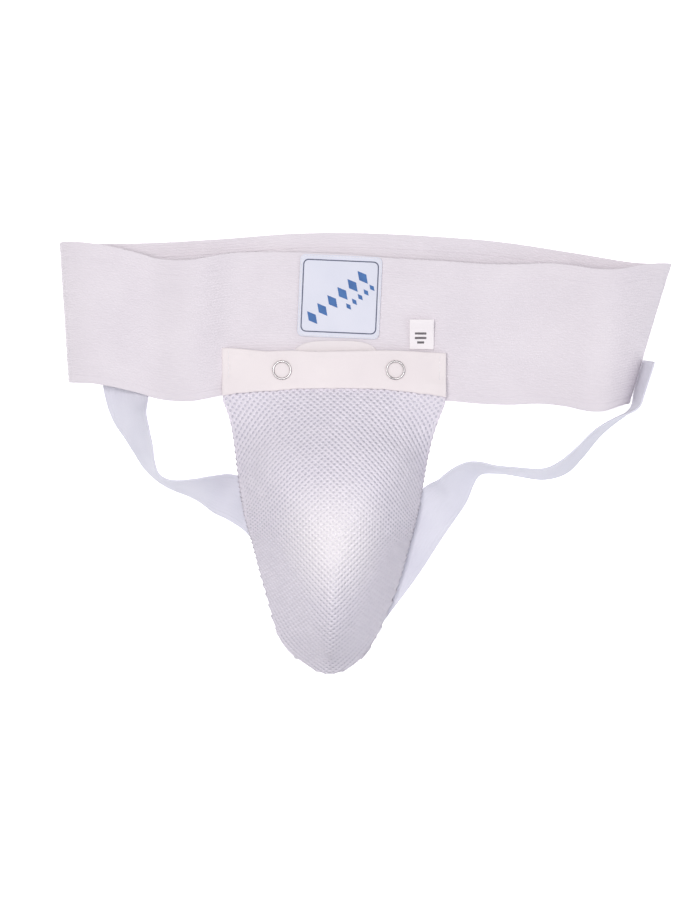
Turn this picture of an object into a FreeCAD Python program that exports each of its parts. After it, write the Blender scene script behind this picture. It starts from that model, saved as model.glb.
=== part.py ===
"""Groin protector: an elastic waistband with two leg straps and a net pouch that holds a hard cup.

The protector lies on its back on a flat surface. +X runs along the waistband to the right,
+Y towards the waist edge and +Z up, away from the surface. Lengths are in millimetres.
"""
import FreeCAD, Part, Sketcher
import math
import os

from FreeCAD import Placement, Rotation, Vector

# ---------------------------------------------------------------- driving dimensions
DIMENSIONS = {
    "band_width": 75.0,        # woven height of the waist elastic
    "band_thickness": 1.6,
    "tape_width": 22.0,        # strip that covers the join of the loop, outside the back
    "tape_length": 73.0,
    "tape_thickness": 0.8,
    "tape_centre_x": -20.0,
    "tape_centre_y": 81.2,
    "placket_width": 92.0,     # reinforcement that carries the press studs
    "placket_height": 29.0,
    "placket_thickness": 0.8,
    "placket_low_z": 9.6,
    "placket_above_snaps": 1.9,   # from the studs' line to the placket's middle
    "label_side": 44.0,
    "label_thickness": 0.6,
    "label_turn": -2.5,
    "label_centre_x": -14.4,
    "label_centre_y": 84.6,
    "label_low_z": 9.6,
    "tag_width": 13.0,
    "tag_height": 16.0,
    "tag_thickness": 0.4,
    "tag_centre_x": 29.5,
    "tag_foot_y": 56.4,
    "tag_low_z": 10.8,
    "flap_width": 119.9,
    "flap_height": 24.0,
    "flap_thickness": 1.4,
    "flap_left_x": -77.3,
    "hinge_y": 32.3,
    "hinge_z": 13.6,
    "snap_pitch": 60.6,        # centre to centre of the two press studs
    "snap_centre_x": -14.9,
    "snap_y": 45.3,
    "ring_middle_radius": 4.65,
    "ring_wire_radius": 0.55,
    "ring_seat_gap": 0.03,     # between the flap's cloth and the front rings
    "back_ring_top_z": 7.35,
    "stud_flange_radius": 4.4,
    "stud_knob_radius": 1.75,
    "stud_neck_radius": 1.45,
    "stud_base_z": 10.5,
    "stud_flange_thickness": 0.5,
    "stud_height": 2.1,
    "socket_hole_radius": 2.25,
    "socket_flange_radius": 4.4,
    "socket_collar_radius": 3.4,
    "socket_low_z": 11.3,
    "socket_height": 1.5,
    "pouch_tilt": 2.2,         # the pouch rises gently from its tip to the band
    "pouch_tip_y": -119.3,
    "pouch_centre_x": -18.0,
    "pouch_foot_z": 2.6,
    "apex_y": -42.0,           # highest place of the cup's dome
    "layer_gap": 0.1,          # between the sewn layers of the pouch
    "lining_thickness": 1.0,
    "lining_inset": 1.6,       # from the pouch's outline to the edge of the lining
    "binding_inset": 0.3,
    "binding_width": 2.6,
    "binding_thickness": 0.8,
    "net_thickness": 0.9,
    "net_height": 52.0,
    "gasket_width": 4.6,
    "gasket_height": 3.0,
    "gasket_overhang": 1.0,    # how far the ring stands out past the cup's rim
    "gasket_lift": 0.5,        # above the lining
    "cup_seat_gap": 0.05,
    "cup_thickness": 2.6,
    "cup_height": 44.0,
    "cup_tip_y": -111.4,
    "strap_width": 25.0,
    "strap_thickness": 1.2,
    "patch_width": 46.0,
    "patch_height": 20.0,
    "patch_thickness": 0.8,
    "patch_centre_x": -19.8,
    "patch_centre_y": -89.0,
}

# Places along the edge of the flattened waist loop: x of the upper edge, x of the lower edge,
# y of the upper edge and height of the cloth's middle.
FRONT_PANEL = [
    (-164.1, -159.6, 113.6, 7.0),
    (-160.0, -156.0, 113.8, 12.2),
    (-150.0, -147.0, 113.3, 15.6),
    (-137.0, -136.0, 111.6, 15.2),
    (-122.0, -122.0, 108.2, 13.0),
    (-112.5, -113.0, 105.2, 12.9),
    (-103.0, -104.0, 103.9, 15.4),
    (-93.0, -94.0, 103.7, 17.2),
    (-84.0, -85.0, 105.3, 15.2),
    (-76.0, -76.5, 107.2, 11.2),
    (-66.0, -66.0, 108.4, 8.8),
    (-46.0, -46.0, 108.6, 8.4),
    (-18.0, -18.0, 107.4, 8.4),
    (12.0, 12.0, 105.6, 8.4),
    (40.0, 40.0, 103.9, 8.5),
    (60.0, 60.0, 102.2, 9.6),
    (78.0, 76.0, 101.9, 11.2),
    (96.0, 92.0, 102.6, 14.0),
    (110.0, 106.0, 101.0, 18.8),
    (122.0, 116.0, 98.6, 23.4),
    (133.0, 125.5, 98.4, 24.2),
    (145.0, 132.8, 100.6, 20.4),
    (156.0, 138.2, 102.2, 14.2),
]
BACK_PANEL = [
    (163.6, 140.6, 102.4, 6.6),
    (155.0, 135.6, 102.6, 2.0),
    (140.0, 127.4, 103.8, 0.95),
    (112.0, 108.0, 108.4, 0.95),
    (72.0, 72.0, 114.4, 0.95),
    (36.0, 36.0, 117.3, 1.05),
    (4.0, 4.0, 118.9, 1.75),
    (-20.0, -20.0, 119.2, 1.8),
    (-44.0, -44.0, 118.5, 1.65),
    (-76.0, -76.0, 116.1, 1.0),
    (-112.0, -112.0, 114.0, 0.95),
    (-142.0, -140.0, 113.4, 0.95),
    (-156.0, -152.0, 113.4, 2.1),
]

# Half of the pouch outline, from the middle of the hem round the right side to the tip:
# distance from the centre line, and y.
POUCH_HALF = [
    (22.0, 30.0), (42.0, 29.4), (53.0, 26.4), (57.4, 18.6), (56.0, 7.0), (52.4, -8.0),
    (48.2, -26.0), (42.4, -48.0), (35.5, -72.0), (28.2, -94.0), (18.0, -111.4),
]
CUP_HALF = [
    (18.0, 21.6), (33.0, 18.4), (42.4, 10.4), (46.0, -2.0), (44.8, -18.0), (40.4, -38.0),
    (34.2, -58.0), (27.2, -78.0), (19.6, -95.0), (11.0, -107.0),
]

# Routes of the leg straps: x, y, lean of the webbing in degrees, clearance above the surface.
LEFT_STRAP = [
    (-131.0, 64.0, 0, 2.1), (-130.6, 50.0, 0, 2.1), (-130.0, 40.5, 3, 2.0),
    (-129.0, 32.5, 13, 1.2), (-127.1, 21.5, 36, 0.4), (-123.0, 12.4, 50, 0.2),
    (-119.2, 4.2, 59, 0.2), (-116.0, -4.2, 69, 0.2), (-111.2, -11.2, 78, 0.2),
    (-103.8, -15.4, 76, 0.2), (-92.7, -17.9, 63, 0.2), (-84.0, -19.6, 42, 0.2),
    (-76.0, -21.9, 16, 0.2), (-68.0, -25.4, 7, 0.3), (-57.0, -33.0, 1, 0.9),
    (-47.0, -46.0, 0, 1.0), (-39.6, -64.0, 0, 0.95), (-35.6, -82.0, 0, 0.95),
    (-34.0, -96.0, 0, 0.95),
]
RIGHT_STRAP = [
    (149.7, 50.5, 98, 0.5), (147.1, 41.5, 97, 0.4), (144.8, 32.5, 95, 0.3),
    (143.1, 26.8, 92, 0.3), (139.0, 22.6, 86, 0.2), (132.4, 18.6, 81, 0.2),
    (122.4, 11.0, 75, 0.2), (112.7, 1.2, 71, 0.2), (105.2, -5.6, 69, 0.2),
    (95.8, -9.2, 74, 0.2), (84.5, -9.2, 78, 0.2), (70.0, -7.2, 79, 0.2),
    (61.7, -6.2, 73, 0.2), (55.3, -8.2, 61, 0.2), (50.2, -13.1, 49, 0.2),
    (45.0, -20.4, 33, 0.2), (38.0, -28.2, 9, 0.3), (29.2, -40.8, 2, 0.6),
    (18.0, -58.0, 0, 1.0), (4.0, -77.0, 0, 0.95), (-4.0, -88.0, 0, 0.95),
    (-8.0, -96.0, 0, 0.95),
]

STRAP_FACE_STATIONS = 5       # stations that one length of a strap's surface spans

# Levels of a dome: share of the outline left at each, from the rim to the crown.
DOME_SHARES = (1.0, 0.965, 0.9, 0.8, 0.67, 0.51, 0.33, 0.14)
DOME_FULLNESS = 0.85          # power that sets how full the dome's shoulders are
DOME_TIP_FULLNESS = 0.75      # the same for the way it draws in towards the tip

doc = FreeCAD.newDocument("GroinProtector")
sheet = doc.addObject("Spreadsheet::Sheet", "Sizes")
for row, (alias, value) in enumerate(DIMENSIONS.items(), start=1):
    sheet.set(f"A{row}", alias)
    sheet.set(f"B{row}", str(value))
    sheet.setAlias(f"B{row}", alias)
doc.recompute()

nodes = {}


def size(alias):
    """One driving dimension, read back from the sheet."""
    return float(sheet.get(alias))


def keep(obj, name):
    """Name a finished sub-part, so that it is written to its own file."""
    obj.Label = name
    nodes[name] = obj
    return obj


def bind(obj, **expressions):
    """Bind properties to the sheet; double underscores stand for dots."""
    for path, expression in expressions.items():
        obj.setExpression(path.replace("__", "."), expression)


def shape_feature(name, shape, placement=None):
    """A sub-part whose shape is neither sketched nor a primitive."""
    obj = doc.addObject("Part::Feature", name + "_shape")
    obj.Shape = shape
    if placement is not None:
        obj.Placement = placement
    return keep(obj, name)


def new_body(name):
    """An empty body with its origin planes made."""
    body = doc.addObject("PartDesign::Body", name + "_body")
    doc.recompute()
    return keep(body, name)


def new_sketch(body, plane):
    """A sketch on one of the body's own origin planes."""
    sketch = body.newObject("Sketcher::SketchObject", body.Name + "_sketch")
    origin_plane = next(f for f in body.Origin.OriginFeatures if f.Role == plane)
    sketch.AttachmentSupport = [(origin_plane, "")]
    sketch.MapMode = "FlatFace"
    return sketch


# ---------------------------------------------------------------- flat sewn plates
def plate(name, width, height, thickness, corner):
    """A rounded rectangle padded upwards, centred on the body's own origin."""
    body = new_body(name)
    sketch = new_sketch(body, "XY_Plane")
    wide = size(width) / 2
    tall = size(height) / 2
    corners = [Vector(-wide, -tall), Vector(wide, -tall), Vector(wide, tall), Vector(-wide, tall)]
    for start, end in zip(corners, corners[1:] + corners[:1]):
        sketch.addGeometry(Part.LineSegment(start, end))
    for side in range(4):
        sketch.addConstraint(Sketcher.Constraint("Coincident", side, 2, (side + 1) % 4, 1))
    for side in (0, 2):
        sketch.addConstraint(Sketcher.Constraint("Horizontal", side))
    for side in (1, 3):
        sketch.addConstraint(Sketcher.Constraint("Vertical", side))
    sketch.addConstraint(Sketcher.Constraint("Symmetric", 0, 1, 1, 2, -1, 1))
    across = sketch.addConstraint(Sketcher.Constraint("DistanceX", 0, 1, 0, 2, 2 * wide))
    along = sketch.addConstraint(Sketcher.Constraint("DistanceY", 1, 1, 1, 2, 2 * tall))
    sketch.setExpression(f"Constraints[{across}]", f"Sizes.{width}")
    sketch.setExpression(f"Constraints[{along}]", f"Sizes.{height}")
    pad = body.newObject("PartDesign::Pad", name + "_pad")
    pad.Profile = sketch
    bind(pad, Length=f"Sizes.{thickness}")
    doc.recompute()
    upright = [
        f"Edge{number}" for number, edge in enumerate(pad.Shape.Edges, start=1)
        if abs(edge.tangentAt(edge.FirstParameter).z) > 0.99
    ]
    rounding = body.newObject("PartDesign::Fillet", name + "_corners")
    rounding.Base = (pad, upright)
    rounding.Radius = corner
    return body


def build_plates():
    """The join tape, stud placket, label, size tag and strap patch."""
    tape = plate("band_join_tape", "tape_width", "tape_length", "tape_thickness", corner=0.8)
    bind(tape, Placement__Base__x="Sizes.tape_centre_x",
         Placement__Base__y="Sizes.tape_centre_y")
    placket = plate("stud_placket", "placket_width", "placket_height", "placket_thickness", corner=1.5)
    bind(placket, Placement__Base__x="Sizes.snap_centre_x",
         Placement__Base__y="Sizes.snap_y + Sizes.placket_above_snaps",
         Placement__Base__z="Sizes.placket_low_z")
    label = plate("brand_label", "label_side", "label_side", "label_thickness", corner=3.0)
    label_place = Vector(size("label_centre_x"), size("label_centre_y"), size("label_low_z"))
    label.Placement = Placement(label_place, Rotation(Vector(0, 0, 1), size("label_turn")))
    tag = plate("size_tag", "tag_width", "tag_height", "tag_thickness", corner=0.6)
    bind(tag, Placement__Base__x="Sizes.tag_centre_x",
         Placement__Base__y="Sizes.tag_foot_y + Sizes.tag_height / 2",
         Placement__Base__z="Sizes.tag_low_z")
    patch = plate("strap_anchor_patch", "patch_width", "patch_height", "patch_thickness", corner=3.0)
    bind(patch, Placement__Base__x="Sizes.patch_centre_x",
         Placement__Base__y="Sizes.patch_centre_y")


def build_flap():
    """The mouth flap: a doubled cloth strip whose lower edge is rounded about the hinge line."""
    body = new_body("mouth_flap")
    sketch = new_sketch(body, "YZ_Plane")
    half = size("flap_thickness") / 2
    reach = size("flap_height") - half
    arc = Part.Arc(Vector(0, half, 0), Vector(-half, 0, 0), Vector(0, -half, 0))
    sketch.addGeometry(arc)
    sketch.addGeometry(Part.LineSegment(Vector(0, -half, 0), Vector(reach, -half, 0)))
    sketch.addGeometry(Part.LineSegment(Vector(reach, -half, 0), Vector(reach, half, 0)))
    sketch.addGeometry(Part.LineSegment(Vector(reach, half, 0), Vector(0, half, 0)))
    sketch.addConstraint(Sketcher.Constraint("Coincident", 1, 2, 2, 1))
    sketch.addConstraint(Sketcher.Constraint("Coincident", 2, 2, 3, 1))
    sketch.addConstraint(Sketcher.Constraint("Vertical", 2))
    thick = sketch.addConstraint(Sketcher.Constraint("DistanceY", 2, 1, 2, 2, 2 * half))
    sketch.setExpression(f"Constraints[{thick}]", "Sizes.flap_thickness")
    pad = body.newObject("PartDesign::Pad", "mouth_flap_pad")
    pad.Profile = sketch
    bind(pad, Length="Sizes.flap_width")
    bind(body, Placement__Base__x="Sizes.flap_left_x",
         Placement__Base__y="Sizes.hinge_y", Placement__Base__z="Sizes.hinge_z")


# ---------------------------------------------------------------- press studs
def turned(name, profile, centre_x, low_z):
    """A piece turned from a half profile of (radius, height) corners."""
    body = new_body(name)
    sketch = new_sketch(body, "XZ_Plane")
    corners = [Vector(radius, height, 0) for radius, height in profile]
    for start, end in zip(corners, corners[1:] + corners[:1]):
        sketch.addGeometry(Part.LineSegment(start, end))
    revolution = body.newObject("PartDesign::Revolution", name + "_turned")
    revolution.Profile = sketch
    revolution.ReferenceAxis = (sketch, ["V_Axis"])
    revolution.Angle = 360
    bind(body, Placement__Base__x=centre_x, Placement__Base__y="Sizes.snap_y",
         Placement__Base__z=low_z)


def ring(name, centre_x, middle_z):
    """A prong ring: a plain torus of wire."""
    torus = doc.addObject("Part::Torus", name + "_torus")
    bind(torus, Radius1="Sizes.ring_middle_radius", Radius2="Sizes.ring_wire_radius",
         Placement__Base__x=centre_x, Placement__Base__y="Sizes.snap_y",
         Placement__Base__z=middle_z)
    keep(torus, name)


def stud_profile():
    """Half section of the male stud: flange, neck and rounded knob."""
    flange = size("stud_flange_radius")
    flange_top = size("stud_flange_thickness")
    neck = size("stud_neck_radius")
    knob = size("stud_knob_radius")
    top = size("stud_height")
    return [(0, 0), (flange, 0), (flange, flange_top), (neck, flange_top), (neck, 0.55 * top),
            (knob, 0.7 * top), (knob, 0.85 * top), (0.7 * knob, top), (0, top)]


def socket_profile():
    """Half section of the female socket: collar below, flange against the flap above."""
    hole = size("socket_hole_radius")
    collar = size("socket_collar_radius")
    flange = size("socket_flange_radius")
    top = size("socket_height")
    return [(hole, 0), (collar, 0), (collar, 0.65 * top), (flange, 0.65 * top),
            (flange, top), (hole, top)]


def build_snaps():
    """Two press studs of four pieces each."""
    for side, sign in (("left", "-"), ("right", "+")):
        centre_x = f"Sizes.snap_centre_x {sign} Sizes.snap_pitch / 2"
        turned(f"{side}_snap_stud", stud_profile(), centre_x, "Sizes.stud_base_z")
        turned(f"{side}_snap_socket", socket_profile(), centre_x, "Sizes.socket_low_z")
        flap_top = "Sizes.hinge_z + Sizes.flap_thickness / 2"
        ring(f"{side}_snap_ring_front", centre_x,
             f"{flap_top} + Sizes.ring_seat_gap + Sizes.ring_wire_radius")
        ring(f"{side}_snap_ring_back", centre_x,
             "Sizes.back_ring_top_z - Sizes.ring_wire_radius")


# ---------------------------------------------------------------- waistband
def sewn_solid(skins):
    """A solid from faces that meet along their edges."""
    shell = Part.makeShell([face for skin in skins for face in skin.Faces])
    shell.sewShape()
    solid = Part.makeSolid(Part.Shell(shell.Faces))
    if solid.Volume < 0:
        solid.reverse()
    return solid


def closed_curve(points):
    """A smooth closed curve through the points."""
    curve = Part.BSplineCurve()
    curve.interpolate(Points=points, PeriodicFlag=True)
    return curve.toShape()


def side_step(before, here, after, distance):
    """A point moved sideways, in the XZ plane, from the path before-here-after."""
    along = after.sub(before)
    along.y = 0
    along.normalize()
    return here.add(Vector(along.z, 0, -along.x).multiply(-distance))


def loop_edge(lower, distance):
    """The upper or lower edge of the waist loop, moved outwards by a distance."""
    points = []
    for upper_x, lower_x, upper_y, height in FRONT_PANEL + BACK_PANEL:
        if lower:
            points.append(Vector(lower_x, upper_y - size("band_width"), height))
        else:
            points.append(Vector(upper_x, upper_y, height))
    count = len(points)
    moved = [
        side_step(points[i - 1], points[i], points[(i + 1) % count], distance)
        for i in range(count)
    ]
    return closed_curve(moved)


def build_waistband():
    """One closed loop of wide elastic, lying flattened with its front panel on top."""
    half = size("band_thickness") / 2
    upper_out = loop_edge(False, half)
    lower_out = loop_edge(True, half)
    upper_in = loop_edge(False, -half)
    lower_in = loop_edge(True, -half)
    pairs = [(upper_out, lower_out), (upper_in, lower_in), (upper_out, upper_in),
             (lower_out, lower_in)]
    skins = [Part.makeRuledSurface(first, second) for first, second in pairs]
    shape_feature("waistband_elastic", sewn_solid(skins))


# ---------------------------------------------------------------- leg straps
def strap_corners(route, index, inner):
    """The four corners of the webbing's section, whose edge on the inner side is raised."""
    x, y, lean, low = route[index]
    before = route[max(index - 1, 0)]
    after = route[min(index + 1, len(route) - 1)]
    along = Vector(after[0] - before[0], after[1] - before[1], 0).normalize()
    level = Vector(-along.y, along.x, 0) * inner
    angle = math.radians(lean)
    across = level * math.cos(angle) + Vector(0, 0, math.sin(angle))
    through = level * -math.sin(angle) + Vector(0, 0, math.cos(angle))
    half_width = size("strap_width") / 2
    half_thick = size("strap_thickness") / 2
    middle_z = low + half_width * math.sin(angle) + half_thick * math.cos(angle)
    middle = Vector(x, y, middle_z)
    return [
        middle + across * (half_width * a) + through * (half_thick * b)
        for a, b in ((-1, -1), (1, -1), (1, 1), (-1, 1))
    ]


def strap_solid(route, inner):
    """Webbing between four smooth corner lines, closed by its two cut ends."""
    sections = [strap_corners(route, index, inner) for index in range(len(route))]
    travelled = [0.0]
    for before, after in zip(route, route[1:]):
        travelled.append(travelled[-1] + math.dist(before[:2], after[:2]))
    curves = []
    for corner in range(4):
        curve = Part.BSplineCurve()
        curve.interpolate(Points=[section[corner] for section in sections],
                          Parameters=travelled)
        curves.append(curve)
    faces = []
    joints = travelled[::STRAP_FACE_STATIONS] + travelled[-1:]
    for start, end in zip(joints, joints[1:]):
        edges = [curve.toShape(start, end) for curve in curves]
        faces += [Part.makeRuledSurface(edges[i], edges[(i + 1) % 4]) for i in range(4)]
    for end in (sections[0], sections[-1]):
        faces.append(Part.Face(Part.makePolygon(end + end[:1])))
    return sewn_solid(faces)


def build_straps():
    """Two flat elastic straps that turn on edge between the waistband and the pouch."""
    shape_feature("leg_strap_left", strap_solid(LEFT_STRAP, 1))
    shape_feature("leg_strap_right", strap_solid(RIGHT_STRAP, -1))


# ---------------------------------------------------------------- pouch and cup
def outline(half, tip_y, inset, share, height):
    """A closed outline at one level of a dome, symmetric about the pouch's centre line."""
    apex = size("apex_y")
    right = [Vector(x, y, 0) for x, y in half]
    top = Vector(0, half[0][1], 0)
    tip = Vector(0, tip_y, 0)
    left = [Vector(-x, y, 0) for x, y in reversed(half)]
    ring_points = [top] + right + [tip] + left
    count = len(ring_points)
    points = []
    for index, here in enumerate(ring_points):
        along = ring_points[(index + 1) % count].sub(ring_points[index - 1])
        along.normalize()
        inward = Vector(along.y, -along.x, 0)
        moved = here.add(inward.multiply(inset))
        reach = share ** DOME_TIP_FULLNESS if moved.y < apex else share
        points.append(Vector(moved.x * share, apex + (moved.y - apex) * reach, height))
    return closed_curve(points)


def dome(half, tip_y, inset, rise):
    """A solid dome over the outline, its foot at height zero."""
    wires = []
    for share in DOME_SHARES:
        height = rise * (1 - share ** 2) ** DOME_FULLNESS
        wires.append(Part.Wire(outline(half, tip_y, inset, share, height)))
    return Part.makeLoft(wires, True, False)


def flat_outline(half, tip_y, inset, thickness):
    """The outline extruded to a flat sheet."""
    face = Part.Face(Part.Wire(outline(half, tip_y, inset, 1.0, 0.0)))
    return face.extrude(Vector(0, 0, thickness))


def edge_ring(half, tip_y, outer_inset, inner_inset, thickness):
    """A flat ring that follows the outline, between two insets."""
    outer = Part.Face(Part.Wire(outline(half, tip_y, outer_inset, 1.0, 0.0)))
    inner = Part.Face(Part.Wire(outline(half, tip_y, inner_inset, 1.0, 0.0)))
    return outer.cut(inner).extrude(Vector(0, 0, thickness))


def pouch_place(height):
    """Placement of a pouch piece: tilted about the tip, at a height above the foot."""
    tilt = Rotation(Vector(1, 0, 0), size("pouch_tilt"))
    foot = Vector(size("pouch_centre_x"), size("pouch_tip_y"), size("pouch_foot_z"))
    tip = Vector(0, size("pouch_tip_y"), 0)
    return Placement(foot.sub(tilt.multVec(tip)), tilt).multiply(
        Placement(Vector(0, 0, height), Rotation()))


def build_pouch():
    """The back lining, the bound edge and the net that covers the cup."""
    tip_y = size("pouch_tip_y")
    lining = size("lining_thickness")
    gap = size("layer_gap")
    binding_foot = lining + gap
    back = flat_outline(POUCH_HALF, tip_y, size("lining_inset"), lining)
    shape_feature("pocket_lining", back, pouch_place(0))
    edge = edge_ring(POUCH_HALF, tip_y, size("binding_inset"), size("binding_width"),
                     size("binding_thickness"))
    shape_feature("pouch_binding", edge, pouch_place(binding_foot))
    thickness = size("net_thickness")
    outer = dome(POUCH_HALF, tip_y, 0.0, size("net_height"))
    inner = dome(POUCH_HALF, tip_y, thickness, size("net_height") - thickness)
    net = outer.cut(inner)
    net_foot = binding_foot + size("binding_thickness") + gap
    shape_feature("pouch_mesh", net, pouch_place(net_foot))


def build_cup():
    """The hard shell and the soft ring round its rim."""
    tip_y = size("cup_tip_y")
    lining = size("lining_thickness")
    gasket_foot = lining + size("gasket_lift")
    high = size("gasket_height")
    gasket = edge_ring(CUP_HALF, tip_y, -size("gasket_overhang"), size("gasket_width"), high)
    shape_feature("cup_gasket", gasket, pouch_place(gasket_foot))
    wall = size("cup_thickness")
    rise = size("cup_height")
    shell = dome(CUP_HALF, tip_y, 0.0, rise).cut(dome(CUP_HALF, tip_y, wall, rise - wall))
    shape_feature("cup_shell", shell, pouch_place(gasket_foot + high + size("cup_seat_gap")))


build_waistband()
build_plates()
build_flap()
build_snaps()
build_straps()
build_pouch()
build_cup()
doc.recompute()

failed = [o.Name for o in doc.Objects if "Invalid" in o.State or "Error" in o.State]
if failed:
    raise SystemExit(f"failed objects: {failed}")
for name, obj in nodes.items():
    if obj.Shape.isNull() or not obj.Shape.isValid():
        raise SystemExit(f"{name} has no valid shape")

os.makedirs("parts", exist_ok=True)
for name, obj in nodes.items():
    obj.Shape.exportStep(f"parts/{name}.step")
    box = obj.Shape.BoundBox
    print(f"{name}: {obj.Shape.Volume:.1f} mm3, "
          f"x {box.XMin:.1f} {box.XMax:.1f} y {box.YMin:.1f} {box.YMax:.1f} "
          f"z {box.ZMin:.2f} {box.ZMax:.2f}")
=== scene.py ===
"""Looks of a groin protector: elastic waistband, leg straps, net pouch, snapped flap and hard cup.

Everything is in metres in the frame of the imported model: it lies on its back, +X to the right
along the waistband, +Y towards the waist edge, +Z up. Tables hold millimetres, as their names say.
"""
import math

import bmesh
import bpy
import numpy as np
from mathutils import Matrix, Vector
from mathutils.bvhtree import BVHTree


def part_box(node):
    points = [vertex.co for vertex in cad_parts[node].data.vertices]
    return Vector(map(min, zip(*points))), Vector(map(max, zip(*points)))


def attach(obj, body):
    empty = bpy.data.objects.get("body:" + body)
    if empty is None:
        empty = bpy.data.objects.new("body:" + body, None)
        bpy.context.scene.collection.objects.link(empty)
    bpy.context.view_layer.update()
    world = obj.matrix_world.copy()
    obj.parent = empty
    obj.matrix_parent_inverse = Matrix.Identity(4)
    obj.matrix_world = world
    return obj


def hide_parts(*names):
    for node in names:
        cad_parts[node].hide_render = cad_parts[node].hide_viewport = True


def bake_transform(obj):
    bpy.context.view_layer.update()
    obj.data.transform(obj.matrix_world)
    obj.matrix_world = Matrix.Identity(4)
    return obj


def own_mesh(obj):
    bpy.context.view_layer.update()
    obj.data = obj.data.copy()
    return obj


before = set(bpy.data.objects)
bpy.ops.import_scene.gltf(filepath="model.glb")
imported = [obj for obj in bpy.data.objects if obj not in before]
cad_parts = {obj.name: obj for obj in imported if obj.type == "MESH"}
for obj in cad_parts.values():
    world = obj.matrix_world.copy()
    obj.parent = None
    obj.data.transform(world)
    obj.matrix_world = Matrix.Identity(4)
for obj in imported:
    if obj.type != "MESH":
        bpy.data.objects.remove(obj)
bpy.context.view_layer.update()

MM = 0.001
UP = np.array([0, 0, 1.0])
CLOTH_MAP = "cloth"          # UV map of every cloth piece, in millimetres along and across

# Places along the edge of the flattened waist loop, in millimetres: x of the upper edge,
# x of the lower edge, y of the upper edge and height of the cloth's middle.
BAND_STATIONS_MM = [
    (-164.1, -159.6, 113.6, 7.0), (-160.0, -156.0, 113.8, 12.2), (-150.0, -147.0, 113.3, 15.6),
    (-137.0, -136.0, 111.6, 15.2), (-122.0, -122.0, 108.2, 13.0), (-112.5, -113.0, 105.2, 12.9),
    (-103.0, -104.0, 103.9, 15.4), (-93.0, -94.0, 103.7, 17.2), (-84.0, -85.0, 105.3, 15.2),
    (-76.0, -76.5, 107.2, 11.2), (-66.0, -66.0, 108.4, 8.8), (-46.0, -46.0, 108.6, 8.4),
    (-18.0, -18.0, 107.4, 8.4), (12.0, 12.0, 105.6, 8.4), (40.0, 40.0, 103.9, 8.5),
    (60.0, 60.0, 102.2, 9.6), (78.0, 76.0, 101.9, 11.2), (96.0, 92.0, 102.6, 14.0),
    (110.0, 106.0, 101.0, 18.8), (122.0, 116.0, 98.6, 23.4), (133.0, 125.5, 98.4, 24.2),
    (145.0, 132.8, 100.6, 20.4), (156.0, 138.2, 102.2, 14.2), (163.6, 140.6, 102.4, 6.6),
    (155.0, 135.6, 102.6, 2.0), (140.0, 127.4, 103.8, 0.95), (112.0, 108.0, 108.4, 0.95),
    (72.0, 72.0, 114.4, 0.95), (36.0, 36.0, 117.3, 1.05), (4.0, 4.0, 118.9, 1.75),
    (-20.0, -20.0, 119.2, 1.8), (-44.0, -44.0, 118.5, 1.65), (-76.0, -76.0, 116.1, 1.0),
    (-112.0, -112.0, 114.0, 0.95), (-142.0, -140.0, 113.4, 0.95), (-156.0, -152.0, 113.4, 2.1),
]
BAND_WIDTH = 75 * MM
BAND_THICKNESS = 1.3 * MM
BAND_RIBS = 50

# Routes of the leg straps: x, y in millimetres, lean of the webbing in degrees, and clearance
# above the surface in millimetres.
LEFT_STRAP_MM = [
    (-131.0, 64.0, 0, 2.1), (-130.6, 50.0, 0, 2.1), (-130.0, 40.5, 3, 2.0),
    (-129.0, 32.5, 13, 1.2), (-127.1, 21.5, 36, 0.4), (-123.0, 12.4, 50, 0.2),
    (-119.2, 4.2, 59, 0.2), (-116.0, -4.2, 69, 0.2), (-111.2, -11.2, 78, 0.2),
    (-103.8, -15.4, 76, 0.2), (-92.7, -17.9, 63, 0.2), (-84.0, -19.6, 42, 0.2),
    (-76.0, -21.9, 16, 0.2), (-68.0, -25.4, 7, 0.3), (-57.0, -33.0, 1, 0.9),
    (-47.0, -46.0, 0, 1.0), (-39.6, -64.0, 0, 0.95), (-35.6, -82.0, 0, 0.95),
    (-34.0, -96.0, 0, 0.95),
]
RIGHT_STRAP_MM = [
    (149.7, 50.5, 98, 0.5), (147.1, 41.5, 97, 0.4), (144.8, 32.5, 95, 0.3),
    (143.1, 26.8, 92, 0.3), (139.0, 22.6, 86, 0.2), (132.4, 18.6, 81, 0.2),
    (122.4, 11.0, 75, 0.2), (112.7, 1.2, 71, 0.2), (105.2, -5.6, 69, 0.2),
    (95.8, -9.2, 74, 0.2), (84.5, -9.2, 78, 0.2), (70.0, -7.2, 79, 0.2),
    (61.7, -6.2, 73, 0.2), (55.3, -8.2, 61, 0.2), (50.2, -13.1, 49, 0.2),
    (45.0, -20.4, 33, 0.2), (38.0, -28.2, 9, 0.3), (29.2, -40.8, 2, 0.6),
    (18.0, -58.0, 0, 1.0), (4.0, -77.0, 0, 0.95), (-4.0, -88.0, 0, 0.95),
    (-8.0, -96.0, 0, 0.95),
]
STRAP_WIDTH = 25 * MM
STRAP_THICKNESS = 1.1 * MM
STRAP_RIBS = 15

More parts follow.
